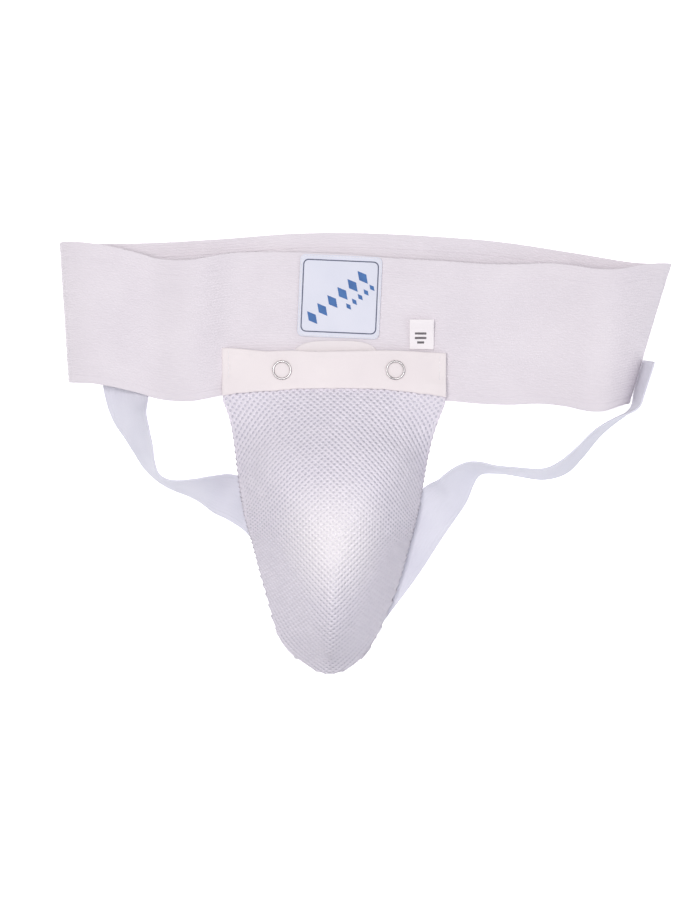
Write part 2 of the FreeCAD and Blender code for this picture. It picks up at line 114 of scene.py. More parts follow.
# Edge of the pouch in millimetres: y, x of the left edge, x of the right edge.
POUCH_EDGE_MM = [
    (39.0, -76.4, 41.6), (32.6, -77.0, 42.2), (28.0, -75.8, 41.2), (19.0, -73.4, 38.6),
    (8.0, -71.4, 35.2), (-6.0, -69.6, 32.0), (-24.0, -67.2, 29.0), (-36.0, -64.8, 26.4),
    (-48.0, -61.4, 23.2), (-65.0, -57.0, 18.6), (-80.0, -52.8, 13.4), (-92.0, -49.6, 8.4),
    (-100.0, -46.6, 4.4), (-107.0, -41.6, -0.2), (-113.0, -33.6, -6.0), (-117.0, -27.0, -12.6),
    (-118.9, -21.6, -18.6),
]
NET_CELL = 3.6 * MM          # width of one diamond of the net
NET_ROW = 3.0 * MM           # its length
NET_CREST = 0.75 * MM        # height of its strands above the middle of the net
NET_HOLE = 0.86              # size of its dimples, as a share of half a diamond
NET_APEX_Y = -43.3 * MM      # where its arches turn over, on the highest part of the dome
# the dome's highest point, also the centre of the net's painted highlight
NET_APEX = (-18 * MM, NET_APEX_Y, 57 * MM)
NET_STEEPNESS = 0.45         # how far a slope counts as length, as the knit stretches there
NET_BOW = 9.0 * MM           # how far its courses bow, 50 mm away from the middle
NET_CLEARANCE = 1.2 * MM     # from the cup to the middle of the net
NET_TOP_Y = 37.6 * MM        # its upper edge, under the flap
NET_FOOT_Y = -118.7 * MM     # its lowest row
NET_FULL_WIDTH = 119 * MM    # measured over the dome, where its diamonds have their own width
NET_RIM = -0.30 * MM         # height of its dimples' floors from the middle of the net
NET_BACK = -0.50 * MM        # height of its back
HEM_HEIGHT = 12.1 * MM       # height of the net's middle at the mouth
SEAM_INSET = 3.2 * MM        # from the flap's ends to their seams


# ---------------------------------------------------------------- curves and grids
def smooth_path(stations, per_span, closed):
    """A Catmull-Rom curve through rows of any width, evenly sampled within each span."""
    rows = np.array(stations, float)
    count = len(rows)
    if not closed:
        rows = np.vstack([2 * rows[0] - rows[1], rows, 2 * rows[-1] - rows[-2]])
    steps = np.linspace(0, 1, per_span, endpoint=False)[:, None]
    out = []
    for i in range(count if closed else count - 1):
        a, b, c, d = (rows[(i + k - (1 if closed else 0)) % len(rows)] for k in range(4))
        out.append(0.5 * (2 * b + (c - a) * steps + (2 * a - 5 * b + 4 * c - d) * steps ** 2
                          + (3 * b - a - 3 * c + d) * steps ** 3))
    if not closed:
        out.append(rows[-2:-1])
    return np.vstack(out)


def arc_lengths(points):
    """Distance travelled to each point of a path."""
    return np.concatenate([[0], np.cumsum(np.linalg.norm(np.diff(points, axis=0), axis=1))])


def respaced(rows, travelled, count, closed=False):
    """Rows interpolated at even distances; a closed path leaves out its last place."""
    places = np.linspace(0, travelled[-1], count, endpoint=not closed)
    return np.stack([np.interp(places, travelled, column) for column in rows.T], axis=1), places


def smoothstep(low, high, value):
    """0 below low, 1 above high, smooth between."""
    t = np.clip((value - low) / (high - low), 0, 1)
    return t * t * (3 - 2 * t)


def edge_spaced(length, step, fine):
    """Places from 0 to length, with extra ones close to both ends for a rounded edge."""
    inner = np.linspace(fine, length - fine, max(int(round(length / step)), 2))
    ends = fine * np.array([0.0, 0.12, 0.45])
    return np.concatenate([ends, inner, length - ends[::-1]])


def rounded_half(distance, half):
    """Half thickness of a cloth at a distance from its cut edge."""
    inside = np.clip(distance / half, 0, 1)
    return half * np.sqrt(np.clip(1 - (1 - inside) ** 2, 0.02, 1))


def unit(vectors):
    """Vectors brought to length 1."""
    return vectors / np.maximum(np.linalg.norm(vectors, axis=-1, keepdims=True), 1e-12)


def grid_of(x, y, z):
    """A grid of points from coordinates that spread over one another."""
    return np.stack(np.broadcast_arrays(x, y, z), axis=-1)


def box_places(low, high, step_x, step_y, fine):
    """Places over a box from its left and upper edges, and how far each is from an edge."""
    x = edge_spaced(high.x - low.x, step_x, fine)
    y = edge_spaced(high.y - low.y, step_y, fine)
    return x, y, np.minimum(np.minimum(x, x[-1] - x)[:, None], np.minimum(y, y[-1] - y)[None, :])


def rectangle(left, right, foot, head, z):
    """A closed rectangular path at one height."""
    return [(left, foot, z), (right, foot, z), (right, head, z), (left, head, z), (left, foot, z)]


def grid_normals(grid, closed):
    """Unit normals of a grid of points."""
    if closed:
        along = np.roll(grid, -1, axis=0) - np.roll(grid, 1, axis=0)
    else:
        along = np.gradient(grid, axis=0)
    return unit(np.cross(along, np.gradient(grid, axis=1)))


def waves(u, v, size, seed):
    """Gentle uneven waves between about -1 and 1, the same on each run."""
    rng = np.random.default_rng(seed)
    total = np.zeros(np.broadcast(u, v).shape)
    for _ in range(7):
        angle, phase, scale = rng.uniform(0, math.tau, 2).tolist() + [rng.uniform(0.7, 1.6)]
        turn = math.tau / (size * scale)
        total += np.sin(turn * (u * math.cos(angle) + v * math.sin(angle)) + phase)
    return total / 3.5


# ---------------------------------------------------------------- making objects
def add_object(name, verts, faces, material, body, uv=None, smooth=True):
    """A mesh object that rides on a body, if one is named, and takes a slot's finish."""
    mesh = bpy.data.meshes.new(name)
    mesh.from_pydata([tuple(v) for v in verts], [], [tuple(f) for f in faces])
    if uv is not None:
        layer = mesh.uv_layers.new(name=CLOTH_MAP)
        corner_vertex = np.zeros(len(mesh.loops), np.int32)
        mesh.loops.foreach_get("vertex_index", corner_vertex)
        layer.data.foreach_set("uv", np.asarray(uv, np.float32)[corner_vertex].ravel())
    if smooth:
        mesh.polygons.foreach_set("use_smooth", np.ones(len(mesh.polygons), bool))
    mesh.materials.append(material)
    mesh.update()
    obj = bpy.data.objects.new(name, mesh)
    bpy.context.scene.collection.objects.link(obj)
    if body:
        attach(obj, body)
    return obj


def quads(first, second, third, fourth):
    """Faces from four index grids of one shape."""
    return np.stack([g.ravel() for g in (first, second, third, fourth)], axis=1)


def cloth_sheet(name, middle, up, down, travel, material, body, closed=False):
    """A closed piece of cloth round a grid of middle points, with its own thickness each way.

    travel is (along, across) in metres for each grid place, and becomes the cloth's UV map.
    """
    normals = grid_normals(middle, closed)
    rows, columns = middle.shape[:2]
    top = middle + normals * up[..., None]
    under = middle - normals * down[..., None]
    index = np.arange(rows * columns).reshape(rows, columns)
    after = np.roll(index, -1, axis=0) if closed else index[1:]
    here = index if closed else index[:-1]
    shift = rows * columns
    faces = [
        quads(here[:, :-1], after[:, :-1], after[:, 1:], here[:, 1:]),
        quads(here[:, :-1] + shift, here[:, 1:] + shift, after[:, 1:] + shift,
              after[:, :-1] + shift),
        quads(here[:, 0], here[:, 0] + shift, after[:, 0] + shift, after[:, 0]),
        quads(here[:, -1], after[:, -1], after[:, -1] + shift, here[:, -1] + shift),
    ]
    if not closed:
        faces.append(quads(index[0, :-1], index[0, 1:], index[0, 1:] + shift,
                           index[0, :-1] + shift))
        faces.append(quads(index[-1, :-1], index[-1, :-1] + shift, index[-1, 1:] + shift,
                           index[-1, 1:]))
    verts = np.concatenate([top.reshape(-1, 3), under.reshape(-1, 3)])
    uv = np.stack([np.broadcast_to(t, (rows, columns)).ravel() / MM for t in travel], axis=1)
    return add_object(name, verts, np.concatenate(faces), material, body,
                      uv=np.concatenate([uv, uv]))


def stitches(name, path, body, pitch=2.2 * MM, radius=0.24 * MM, zigzag=0.0):
    """A row of thread stitches along a path: each a small tapered bead, all in one piece."""
    path = np.asarray(path, float)
    travelled = arc_lengths(path)
    count = max(int(travelled[-1] / pitch), 1)
    edges = np.linspace(0, travelled[-1], count + 1)
    verts, faces = [], []
    # place along a stitch and width there, as shares of its length and radius
    profile = [(-0.40, 0.25), (-0.30, 0.85), (0.0, 1.1), (0.30, 0.85), (0.40, 0.25)]
    sides = 6
    for i in range(count):
        ends = [np.array([np.interp(e, travelled, c) for c in path.T])
                for e in (edges[i], edges[i + 1])]
        middle, run = (ends[0] + ends[1]) / 2, ends[1] - ends[0]
        run = run + unit(np.cross(run, UP)) * (zigzag if i % 2 else -zigzag)
        side = unit(np.cross(run, UP))
        over = np.cross(side, unit(run))
        base = len(verts)
        for place, width in profile:
            for k in range(sides):
                turn = math.tau * k / sides
                verts.append(middle + run * place + (side * math.cos(turn)
                             + over * math.sin(turn)) * radius * width)
        for ring in range(len(profile) - 1):
            for k in range(sides):
                a, b = base + ring * sides + k, base + ring * sides + (k + 1) % sides
                faces.append((a, a + sides, b + sides, b))
        faces.append([base + k for k in range(sides)])
        faces.append([base + (len(profile) - 1) * sides + k for k in reversed(range(sides))])
    return add_object(name, verts, faces, THREAD, body)


# ---------------------------------------------------------------- materials
class Nodes:
    """A new node material, with short ways to add nodes to it and join them."""

    def __init__(self, name):
        self.material = bpy.data.materials.new(name)
        self.material.use_nodes = True
        self.tree = self.material.node_tree
        self.shader = next(n for n in self.tree.nodes if n.type == "BSDF_PRINCIPLED")

    def fill(self, node, inputs):
        """Join sockets to a node's inputs, and set those that are given as values."""
        for key, value in inputs.items():
            if isinstance(value, bpy.types.NodeSocket):
                self.tree.links.new(value, node.inputs[key])
            else:
                node.inputs[key].default_value = value
        return node

    def add(self, kind, inputs, **settings):
        """A node of a kind."""
        node = self.tree.nodes.new(kind)
        for key, value in settings.items():
            setattr(node, key, value)
        return self.fill(node, inputs)

    def calc(self, operation, *values):
        """Result of a sum."""
        return self.add("ShaderNodeMath", dict(enumerate(values)), operation=operation).outputs[0]

    def noise(self, place, scale, detail):
        """Uneven tone at a place."""
        return self.add("ShaderNodeTexNoise",
                        {"Vector": place, "Scale": scale, "Detail": detail}).outputs[0]

    def remap(self, value, low, high, to_low=0.0, to_high=1.0):
        """A value brought from one range to another."""
        return self.add("ShaderNodeMapRange", {"Value": value, "From Min": low, "From Max": high,
                                               "To Min": to_low, "To Max": to_high}).outputs[0]

    def mixed(self, factor, low, high):
        """A colour between two, by a factor."""
        return self.add("ShaderNodeMix", {0: factor, 6: low, 7: high},
                        data_type="RGBA").outputs[2]

    def bump(self, height, strength, distance):
        """Surface relief from a height."""
        return self.add("ShaderNodeBump", {"Height": height, "Strength": strength,
                                           "Distance": distance}).outputs[0]


def cloth_material(name, light, shade, thread_along, thread_across, relief, roughness=0.85,
                   twill=0.0):
    """Woven or knitted cloth: two thread directions, soft fuzz and a slow change of tone."""
    nodes = Nodes(name)
    place = nodes.add("ShaderNodeUVMap", {}, uv_map=CLOTH_MAP).outputs[0]
    turn = nodes.add("ShaderNodeMapping",
                     {"Vector": place, "Rotation": (0, 0, math.radians(twill))})
    axes = nodes.add("ShaderNodeSeparateXYZ", {"Vector": turn.outputs[0]}).outputs
    threads = [nodes.calc("SINE", nodes.calc("MULTIPLY", socket, math.tau / pitch))
               for socket, pitch in ((axes[0], thread_along), (axes[1], thread_across))]
    fuzz = nodes.noise(place, 2.6, 3.0)
    height = nodes.calc("MULTIPLY_ADD", nodes.calc("MULTIPLY", *threads), 0.35, fuzz)
    tone = nodes.calc("MULTIPLY_ADD", height, 0.38, nodes.noise(place, 0.035, 2.0))
    nodes.fill(nodes.shader, {
        "Base Color": nodes.mixed(nodes.remap(tone, 0.35, 1.0), (*shade, 1), (*light, 1)),
        "Roughness": nodes.remap(fuzz, 0.0, 1.0, roughness - 0.08, roughness + 0.08),
        "Normal": nodes.bump(height, relief, 0.0003), "Sheen Weight": 0.25,
        "Sheen Roughness": 0.5, "Specular IOR Level": 0.25})
    return nodes.material


def solid_material(name, light, shade, roughness, scale, relief, metallic=0.0, coat=0.0,
                   apex_highlight_colour=None):
    """Moulded, plated or spun material with fine grain; if asked, a painted highlight makes it
    paler round the dome's apex.
    """
    nodes = Nodes(name)
    place = nodes.add("ShaderNodeTexCoord", {}).outputs["Object"]
    grain = nodes.noise(place, scale, 4.0)
    tone = nodes.calc("MULTIPLY_ADD", grain, 0.5, nodes.noise(place, scale / 14, 2.0))
    colour = nodes.mixed(nodes.remap(tone, 0.45, 1.05), (*shade, 1), (*light, 1))
    # painted highlight: the colour turns paler towards the net's apex, where the light falls
    # strongest
    if apex_highlight_colour:
        away = nodes.add("ShaderNodeVectorMath", {0: place, 1: NET_APEX}, operation="DISTANCE")
        near = nodes.remap(away.outputs["Value"], 38 * MM, 8 * MM)
        colour = nodes.mixed(near, colour, (*apex_highlight_colour, 1))
    nodes.fill(nodes.shader, {
        "Base Color": colour, "Metallic": metallic, "Coat Weight": coat,
        "Roughness": nodes.remap(grain, 0.3, 0.7, roughness - 0.07, roughness + 0.09),
        "Normal": nodes.bump(grain, relief, 0.0001)})
    return nodes.material


# Cloths: lighter and darker colour, pitches of the threads along and across in millimetres, relief.
BAND_CLOTH = cloth_material("band_elastic", (0.80, 0.745, 0.785), (0.74, 0.685, 0.73), 1.1, 0.72,
                            0.35)
STRAP_CLOTH = cloth_material("strap_webbing", (0.77, 0.76, 0.83), (0.66, 0.65, 0.74), 0.9, 0.8,
                             0.35)
FLAP_CLOTH = cloth_material("flap_cloth", (0.86, 0.79, 0.79), (0.80, 0.73, 0.74), 0.55, 0.55,
                            0.22)
TAPE_CLOTH = cloth_material("twill_tape", (0.90, 0.87, 0.82), (0.80, 0.76, 0.71), 0.8, 0.8,
                            0.4, twill=38)
LINING_CLOTH = cloth_material("lining_cloth", (0.86, 0.84, 0.86), (0.76, 0.74, 0.77), 0.6, 0.6,
                              0.3)
FACING_CLOTH = cloth_material("facing_cloth", (0.85, 0.79, 0.80), (0.79, 0.73, 0.74), 0.55, 0.55,
                              0.25)
BINDING_CLOTH = cloth_material("binding_cloth", (0.78, 0.76, 0.81), (0.68, 0.66, 0.72), 0.7,
                               0.7, 0.35)
LABEL_CLOTH = cloth_material("label_cloth", (0.76, 0.76, 0.84), (0.68, 0.69, 0.79), 0.4, 0.4,
                             0.2, roughness=0.6)
TAG_CLOTH = cloth_material("tag_satin", (0.90, 0.85, 0.86), (0.85, 0.80, 0.82), 0.3, 0.9, 0.12,
                           roughness=0.45)
# Solids: lighter and darker colour, roughness, grain in lumps to the metre, relief.
# the yarn's paler apex colour is a painted highlight
NET_YARN = solid_material("net_yarn", (0.80, 0.755, 0.82), (0.75, 0.71, 0.78), 0.72, 2600, 0.5,
                          apex_highlight_colour=(0.85, 0.81, 0.84))
# the knit's back layer at the dimple floors, coloured much darker than the yarn as painted shade in
# the dimples, with a paler apex as painted highlight
NET_SHADED_GROUND = solid_material("net_shaded_ground", (0.56, 0.54, 0.60), (0.50, 0.48, 0.55), 0.8, 2600, 0.3,
                            apex_highlight_colour=(0.67, 0.64, 0.68))
THREAD = solid_material("thread", (0.90, 0.87, 0.88), (0.78, 0.75, 0.77), 0.6, 4200, 0.4)
PRINT_BLUE = solid_material("print_blue", (0.045, 0.16, 0.42), (0.03, 0.11, 0.33), 0.6, 3200,
                            0.3)
PRINT_SLATE = solid_material("print_slate", (0.10, 0.11, 0.19), (0.06, 0.07, 0.13), 0.6, 3200,
                             0.3)
PRINT_GREY = solid_material("print_grey", (0.16, 0.14, 0.15), (0.10, 0.09, 0.10), 0.6, 3200, 0.3)
SNAP_METAL = solid_material("snap_metal", (0.60, 0.57, 0.57), (0.34, 0.32, 0.33), 0.3, 2400,
                            0.25, metallic=1.0)
CUP_PLASTIC = solid_material("cup_plastic", (0.90, 0.88, 0.88), (0.83, 0.81, 0.83), 0.42, 900,
                             0.12, coat=0.1)
GASKET_RUBBER = solid_material("gasket_rubber", (0.72, 0.72, 0.74), (0.62, 0.62, 0.66), 0.75,
                               1500, 0.3)


# ---------------------------------------------------------------- waistband
def band_middle(count):
    """Even places round the loop: x of both edges, y of the upper edge and height, in metres."""
    dense = smooth_path(BAND_STATIONS_MM, 24, True) * MM
    dense = np.vstack([dense, dense[:1]])
    middle_x = (dense[:, 0] + dense[:, 1]) / 2
    travelled = arc_lengths(np.stack([middle_x, dense[:, 3]], axis=1))
    rows, places = respaced(dense, travelled, count, closed=True)
    return rows, places, travelled[-1]


def make_waistband():
    """The closed loop of wide elastic, with woven ribs along it and firmer edges."""
    rows, places, around = band_middle(190)
    across = edge_spaced(BAND_WIDTH, BAND_WIDTH / (BAND_RIBS * 4), 0.5 * MM)
    share = across / BAND_WIDTH
    grid = grid_of(rows[:, 0:1] * (1 - share) + rows[:, 1:2] * share, rows[:, 2:3] - across,
                   rows[:, 3:4])
    ripple = waves(places[:, None], across[None, :], 60 * MM, 3) * 0.22 * MM
    lift = smoothstep(4 * MM, 12 * MM, rows[:, 3:4])
    grid[..., 2] += ripple * lift
    grid[..., 1] += waves(places[:, None], across[None, :] * 0.2, 46 * MM, 11) * 0.3 * MM * lift
    rib = 0.13 * MM * np.cos(math.tau * BAND_RIBS * share)
    for seam, depth in ((8.6 * MM, 0.28 * MM), (BAND_WIDTH - 3.2 * MM, 0.32 * MM)):
        rib = rib - depth * np.exp(-((across - seam) / (0.45 * MM)) ** 2)
    edge = np.minimum(across, BAND_WIDTH - across)
    half = rounded_half(edge, BAND_THICKNESS / 2) + rib * smoothstep(0, 1 * MM, edge)
    thickness = np.broadcast_to(half, grid.shape[:2])
    band = cloth_sheet("waistband", grid, thickness, thickness,
                       (places[:, None], across[None, :]), BAND_CLOTH, "root",
                       closed=True)
    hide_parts("waistband_elastic")


def make_join_tape():
    """The tape over the join of the loop, zigzag-stitched outside the back panel."""
    low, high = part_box("band_join_tape")
    x, y, edge = box_places(low, high, 1.2 * MM, 1.6 * MM, 0.4 * MM)
    x = x[:, None] + low.x
    ripple = waves(x, y[None, :], 18 * MM, 5) * 0.08 * MM
    grid = grid_of(x, high.y - y, (low.z + high.z) / 2 + ripple)
    thick = rounded_half(edge, (high.z - low.z) / 2)
    tape = cloth_sheet("join_tape", grid, thick, thick, (x, y), TAPE_CLOTH, "root")
    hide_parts("band_join_tape")
    for number, x_line in enumerate((low.x + 3 * MM, high.x - 3 * MM), start=1):
        z_line = low.z + 0.2 * MM
        line = [(x_line, high.y - 2 * MM, z_line), (x_line, low.y + 2 * MM, z_line)]
        stitches(f"join_stitches_{number}", line, "root", pitch=1.8 * MM,
                 zigzag=1.6 * MM)


# ---------------------------------------------------------------- leg straps
def make_strap(name, node, stations, inner):
    """A flat elastic strap that leans over until it stands on edge, and lies flat again.

    inner is 1 where its leaning edge is on the left of the route, -1 on the right.
    """
    dense = smooth_path(stations, 20, False)
    dense[:, [0, 1, 3]] *= MM
    travelled = arc_lengths(dense[:, :2])
    rows, places = respaced(dense, travelled, 170)
    x, y, lean, low = rows.T
    lean = np.radians(lean)
    along = unit(np.gradient(rows[:, :2], axis=0))
    level = np.stack([-along[:, 1], along[:, 0], np.zeros(len(x))], axis=1) * inner
    side = level * np.cos(lean)[:, None] + UP * np.sin(lean)[:, None]
    through = -level * np.sin(lean)[:, None] + UP * np.cos(lean)[:, None]
    half_width, half = STRAP_WIDTH / 2, STRAP_THICKNESS / 2
    height = low + half_width * np.sin(lean) + (half + 0.15 * MM) * np.cos(lean)
    centre = np.stack([x, y, height], axis=1)
    across = edge_spaced(STRAP_WIDTH, STRAP_WIDTH / (STRAP_RIBS * 5), 0.45 * MM)
    offset = across - half_width
    grid = centre[:, None] + side[:, None] * offset[None, :, None]
    free = smoothstep(0.15, 0.6, np.sin(lean))[:, None]
    curl = 0.9 * MM * free * (np.abs(offset) / half_width)[None, :] ** 2
    flutter = waves(places[:, None], across[None, :] * 0.3, 34 * MM, 17) * 0.5 * MM * free
    grid += through[:, None] * (curl + flutter)[..., None]
    rib = 0.09 * MM * np.cos(math.tau * STRAP_RIBS * across / STRAP_WIDTH)
    edge = np.minimum(across, STRAP_WIDTH - across)
    rib -= 0.14 * MM * np.exp(-((edge - 2.2 * MM) / (0.3 * MM)) ** 2)
    end = np.minimum(places, places[-1] - places)[:, None]
    thick = np.minimum(rounded_half(edge, half) + rib * smoothstep(0, 0.8 * MM, edge),
                       rounded_half(end + 0.02 * MM, half))
    strap = cloth_sheet(name, grid, thick, thick, (places[:, None], across[None, :]),
                        STRAP_CLOTH, "root")
    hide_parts(node)
    return centre, side, through, places


def make_straps():
    """Both leg straps and the stitches that hold their ends."""
    make_strap("leg_strap_left_cloth", "leg_strap_left", LEFT_STRAP_MM, 1)
    centre, side, through, places = make_strap("leg_strap_right_cloth", "leg_strap_right",
                                               RIGHT_STRAP_MM, -1)
    end_x, end_y = LEFT_STRAP_MM[0][0] * MM, LEFT_STRAP_MM[0][1] * MM
    box = rectangle(end_x - 8 * MM, end_x + 8 * MM, end_y - 3 * MM, end_y - 15 * MM, 3.45 * MM)
    stitches("strap_stitches_left", box, "root")
    for number, drop in enumerate((3, 9), start=1):
        place = int(np.argmin(np.abs(places - drop * MM)))
        out = through[place] * (STRAP_THICKNESS / 2 + 0.05 * MM)
        line = [centre[place] + side[place] * s * 9 * MM + out for s in (-1, 1)]
        stitches(f"strap_stitches_right_{number}", line, "root")


def make_anchor_patch():
    """The patch under the pouch's foot that holds both strap ends, with its crossed stitches."""
    low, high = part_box("strap_anchor_patch")
    x, y, edge = box_places(low, high, 1.2 * MM, 1.2 * MM, 0.4 * MM)
    grid = grid_of(low.x + x[:, None], high.y - y, (low.z + high.z) / 2)
    thick = rounded_half(edge, (high.z - low.z) / 2)
    patch = cloth_sheet("anchor_patch", grid, thick, thick, (x[:, None], y), TAPE_CLOTH, "root")
    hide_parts("strap_anchor_patch")
    inset, z = 2.2 * MM, low.z + 0.16 * MM
    left, right, foot, head = low.x + inset, high.x - inset, low.y + inset, high.y - inset
    lines = {"edge": rectangle(left, right, foot, head, z),
             "cross_1": [(left, foot, z), (right, head, z)],
             "cross_2": [(left, head, z), (right, foot, z)]}
    for title, line in lines.items():
        stitches(f"patch_stitches_{title}", line, "root", radius=0.2 * MM)


# ---------------------------------------------------------------- placket, label, tag
def make_placket():
    """The cream cloth that carries the studs; its arched edge shows above the flap."""
    low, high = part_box("stud_placket")
    middle_x, reach, shoulder = -16.5 * MM, 23 * MM, 54 * MM
    x = edge_spaced(high.x - low.x, 1.2 * MM, 0.4 * MM)[:, None] + low.x
    arch = np.clip(1 - ((x - middle_x) / reach) ** 4, 0, None)
    head = shoulder + (high.y - 0.6 * MM - shoulder) * arch ** 0.7
    share = np.linspace(0, 1, 40) ** 1.4
    y = head + (low.y - head) * share
    fold = 0.5 * MM * smoothstep(0.35, 0.0, share) * arch * (1 + 0.4 * np.sin(x / (3.1 * MM)))
    grid = grid_of(x, y, (low.z + high.z) / 2 + fold)
    edge = np.minimum(np.minimum(x - low.x, high.x - x), head - y)
    thick = rounded_half(edge, 0.35 * MM)
    placket = cloth_sheet("placket", grid, thick, thick, (x, share * (high.y - low.y)),
                          FACING_CLOTH, "root")
    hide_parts("stud_placket")


def rounded_square(width, height, radius, steps=7):
    """Outline of a rounded rectangle about the origin, anticlockwise."""
    points = []
    for corner in range(4):
        start = corner * math.pi / 2
        centre_x = (width / 2 - radius) * (1 if corner in (0, 3) else -1)
        centre_y = (height / 2 - radius) * (1 if corner in (0, 1) else -1)
        for step in range(steps):
            turn = start + math.pi / 2 * step / (steps - 1)
            points.append((centre_x + radius * math.cos(turn),
                           centre_y + radius * math.sin(turn)))
    points = np.array(points + points[:1])
    travelled = arc_lengths(points)
    fine = np.arange(0, travelled[-1], 1.0 * MM)
    places = np.unique(np.concatenate([travelled[:-1], fine]))
    return np.stack([np.interp(places, travelled, column) for column in points.T], axis=1)


def print_ring(name, outer, inner, place, height, material, body):
    """A printed line between two outlines, a little raised."""
    count = len(outer)
    rings = [np.column_stack([ring, np.full(count, z)])
             for ring, z in ((outer, 0), (outer, height), (inner, height), (inner, 0))]
    verts = place(np.concatenate(rings))
    faces = []
    for level in range(4):
        for k in range(count):
            a, b = level * count + k, level * count + (k + 1) % count
            after = ((level + 1) % 4) * count
            faces.append((a, b, after + (k + 1) % count, after + k))
    return add_object(name, verts, faces, material, body, smooth=False)


def print_shape(name, outline, place, height, material, body):
    """A printed flat shape, a little raised."""
    count = len(outline)
    verts = place(np.concatenate([np.column_stack([outline, np.zeros(count)]),
                                  np.column_stack([outline, np.full(count, height)])]))
    faces = [list(range(count))[::-1], list(range(count, 2 * count))]
    faces += [(k, (k + 1) % count, count + (k + 1) % count, count + k) for k in range(count)]
    return add_object(name, verts, faces, material, body, smooth=False)


def turned(points, angle, shift):
    """Outline points turned about the origin and moved."""
    c, s = math.cos(angle), math.sin(angle)
    return points @ np.array([[c, s], [-s, c]]) + np.array(shift)


def make_label():
    """The square cloth label with a printed border and a plain abstract mark."""
    low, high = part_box("brand_label")
    centre = (np.array(low) + np.array(high)) / 2
    side, corner, turn = 44 * MM, 3 * MM, math.radians(-2.5)
    c, s = math.cos(turn), math.sin(turn)
    half_side = side / 2
    base = half_side - corner

    def swell(x, y):
        edge = half_side - np.maximum(np.abs(x), np.abs(y))
        wave = waves(x, y, 30 * MM, 23) * 0.16 * MM
        return 0.25 * MM * smoothstep(0, 7 * MM, edge) + wave * smoothstep(0, 5 * MM, edge)

    def place(points):
        x, y, z = points.T
        return np.column_stack([centre[0] + c * x - s * y, centre[1] + s * x + c * y,
                                high.z + z + swell(x, y)])

    line = edge_spaced(side, 0.9 * MM, 0.4 * MM) - half_side
    x, y = np.meshgrid(line, -line, indexing="ij")
    over = np.minimum(np.abs(x), np.abs(y)) - base
    far = np.maximum(np.abs(x), np.abs(y)) - base
    tuck = np.where(over > 0, far / np.maximum(np.hypot(over, far), 1e-9), 1.0)
    x, y = (np.where(over > 0, np.sign(v) * (base + (np.abs(v) - base) * tuck), v)
            for v in (x, y))
    grid = place(np.column_stack([x.ravel(), y.ravel(), np.zeros(x.size)])).reshape(*x.shape, 3)
    edge = half_side - np.maximum(np.abs(line)[:, None], np.abs(line)[None, :])
    half = 0.25 * MM
    grid[..., 2] -= half
    thick = rounded_half(edge, half)
    label = cloth_sheet("label", grid, thick, thick, (x, y), LABEL_CLOTH, "root")
    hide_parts("brand_label")

    raised = 0.09 * MM
    border = [rounded_square(w * MM, h * MM, r * MM) for w, h, r in
              ((40.6, 39.0, 2.9), (39.4, 37.8, 2.4))]
    angles = [np.arctan2(*ring.T[::-1]) for ring in border]
    inner = np.stack([np.interp(angles[0], np.sort(angles[1]), column[np.argsort(angles[1])],
                                period=math.tau) for column in border[1].T], axis=1)
    print_ring("label_border", border[0], inner, place, raised, PRINT_SLATE, "root")
    slope = math.radians(41)
    rows = (("mark", 6, 6.9 * MM, 8.8 * MM, 4.8 * MM, (-1.2 * MM, -0.5 * MM)),
            ("small_mark", 5, 4.0 * MM, 4.4 * MM, 2.4 * MM, (11.0 * MM, 0.2 * MM)))
    for title, count, pitch, long, wide, centre_of_row in rows:
        for number in range(count):
            along = (number - (count - 1) / 2) * pitch
            middle = (centre_of_row[0] + along * math.cos(slope),
                      centre_of_row[1] + along * math.sin(slope))
            lozenge = np.array([(long / 2, 0), (0, wide / 2), (-long / 2, 0), (0, -wide / 2)])
            outline = turned(lozenge, slope + math.pi / 2, middle)
            print_shape(f"label_{title}_{number + 1}", outline, place, raised, PRINT_BLUE, "root")
    hem = rounded_square(42.6 * MM, 42.6 * MM, 2.6 * MM)
    hem = place(np.column_stack([hem, np.full(len(hem), 0.05 * MM)]))
    stitches("label_stitches", np.vstack([hem, hem[:1]]), "root", pitch=1.7 * MM,
             radius=0.16 * MM)


def make_tag():
    """The small satin size tag, sewn at its foot; plain bars stand where the size would be."""
    low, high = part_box("size_tag")
    width, length = high.x - low.x, high.y - low.y
    x, y, edge = box_places(low, high, 0.8 * MM, 0.8 * MM, 0.25 * MM)

    def lift(down):
        return 1.1 * MM * smoothstep(0.45 * length, 0, down) - 0.9 * MM * smoothstep(
            0.3 * length, length, down)

    grid = grid_of(low.x + x[:, None], high.y - y, (low.z + high.z) / 2 + lift(y))
    half = 0.16 * MM
    thick = rounded_half(edge, half)
    tag = cloth_sheet("size_tag_cloth", grid, thick, thick, (x[:, None], y), TAG_CLOTH, "tag")
    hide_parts("size_tag")

    def place(points):
        down = length / 2 - points[:, 1]
        out = points + np.array([(low.x + high.x) / 2, (low.y + high.y) / 2, 0])
        out[:, 2] += (low.z + high.z) / 2 + half + lift(down)
        return out

    for number, (rise, long) in enumerate(((0.5, 6.2), (-1.9, 6.2), (-4.3, 3.8)), start=1):
        bar = rounded_square(long * MM, 1.2 * MM, 0.3 * MM, 4)
        bar = bar + np.array([-0.6 * MM, rise * MM])
        print_shape(f"size_bar_{number}", bar, place, 0.04 * MM, PRINT_GREY, "tag")


# ---------------------------------------------------------------- mouth flap
def flap_foot(x):
    """y of the flap's lower edge, bowed up in the middle and lower at its right end."""
    bow = 35.5 * MM - 3.7 * MM * ((x + 17 * MM) / (60 * MM)) ** 2
    return bow - 1.2 * MM * smoothstep(12 * MM, 42 * MM, x)


